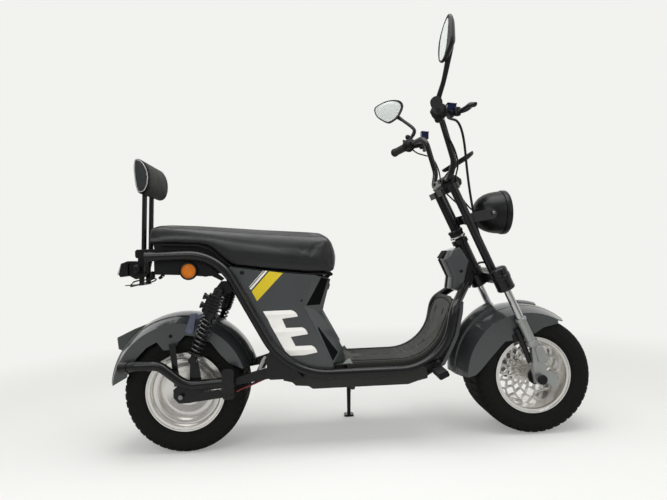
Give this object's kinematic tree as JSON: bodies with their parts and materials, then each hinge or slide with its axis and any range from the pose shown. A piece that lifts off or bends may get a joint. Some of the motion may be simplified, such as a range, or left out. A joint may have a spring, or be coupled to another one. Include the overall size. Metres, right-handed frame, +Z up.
{
  "type": "electric scooter",
  "caption": "Fat-tyred electric scooter with a bent tube frame, stepped floor, bench seat with backrest, upright fork with high handlebar, round headlight and a prop stand.",
  "frame": {"origin": "on the floor under the middle of the overall length and width", "axes": "+X forwards to the front wheel, +Y to the rider's left, +Z up"},
  "size_m": [1.7721, 0.7798, 1.459],
  "materials": {
    "black_paint": "satin",
    "grey_panel": "gloss",
    "dark_plastic": "matte",
    "mat_rubber": "matte",
    "tyre_rubber": "matte",
    "polished_alloy": "polished",
    "cast_alloy": "satin",
    "chrome": "polished",
    "steel": "brushed",
    "seat_leather": "satin",
    "grip_rubber": "matte",
    "white_trim": "gloss",
    "black_steel": "gloss",
    "blue_anodised": "satin",
    "amber_lens": "gloss",
    "clear_lens": "gloss",
    "lamp_glass": "gloss",
    "mirror_face": "polished",
    "battery_case": "matte"
  },
  "bodies": {
    "frame": {"frame_tubes": "black_paint", "neck": "black_paint", "deck_pan": "dark_plastic", "deck_cross": "black_paint", "floor_mat": "mat_rubber", "belly_pan": "dark_plastic", "apron": "grey_panel", "head_cover": "grey_panel", "seat_box_sides": "grey_panel", "side_fins": "white_trim", "seat_box_front": "grey_panel", "seat_box_rear": "dark_plastic", "battery_block": "battery_case", "tail_panel": "dark_plastic", "side_reflectors": "amber_lens", "rear_fender": "grey_panel", "swing_arm": "black_paint", "bumpers": "black_paint", "shocks": "black_paint", "shock_springs": "black_steel", "shock_reservoirs": "blue_anodised", "rear_axle": "steel", "backrest_frame": "black_paint", "backrest_cushion": "seat_leather", "tail_light": "dark_plastic", "tail_lens": "clear_lens", "foot_pegs": "grip_rubber"},
    "steering": {"stem": "black_paint", "lower_clamp": "black_paint", "upper_clamp": "black_paint", "fork_tubes": "black_paint", "stanchions": "chrome", "fork_sliders": "cast_alloy", "fender_stays": "black_paint", "front_axle": "steel", "front_fender": "grey_panel", "handlebar": "black_paint", "grips": "grip_rubber", "controls": "dark_plastic", "fluid_cups": "blue_anodised", "headlight": "black_paint", "headlight_lens": "lamp_glass", "lamp_bracket": "black_paint", "display": "dark_plastic", "mirrors": "dark_plastic", "mirror_glass": "mirror_face", "brake_hose": "grip_rubber"},
    "front_wheel": {"front_tyre": "tyre_rubber", "front_rim": "polished_alloy", "front_disc": "steel"},
    "rear_wheel": {"rear_tyre": "tyre_rubber", "rear_rim": "polished_alloy", "rear_disc": "steel"},
    "seat": {"seat_cushion": "seat_leather", "seat_base": "dark_plastic"},
    "side_stand": {"side_stand": "black_paint"}
  },
  "joints": [
    {"name": "steering", "type": "hinge", "parent": "frame", "child": "steering", "pos_m": [0.5067, 0, 0.575], "axis": [-0.3971, 0, 0.9178], "range_deg": [-35, 35]},
    {"name": "front_wheel_spin", "type": "hinge", "parent": "steering", "child": "front_wheel", "pos_m": [0.669, 0, 0.217], "axis": [0, 1, 0], "continuous": true},
    {"name": "rear_wheel_spin", "type": "hinge", "parent": "frame", "child": "rear_wheel", "pos_m": [-0.606, 0, 0.217], "axis": [0, 1, 0], "continuous": true},
    {"name": "seat_lid", "type": "hinge", "parent": "frame", "child": "seat", "pos_m": [-0.066, 0, 0.618], "axis": [0, 1, 0], "range_deg": [0, 70]},
    {"name": "side_stand_fold", "type": "hinge", "parent": "frame", "child": "side_stand", "pos_m": [-0.001, 0.14, 0.216], "axis": [0, 0.9397, 0.342], "range_deg": [0, 90]}
  ]
}
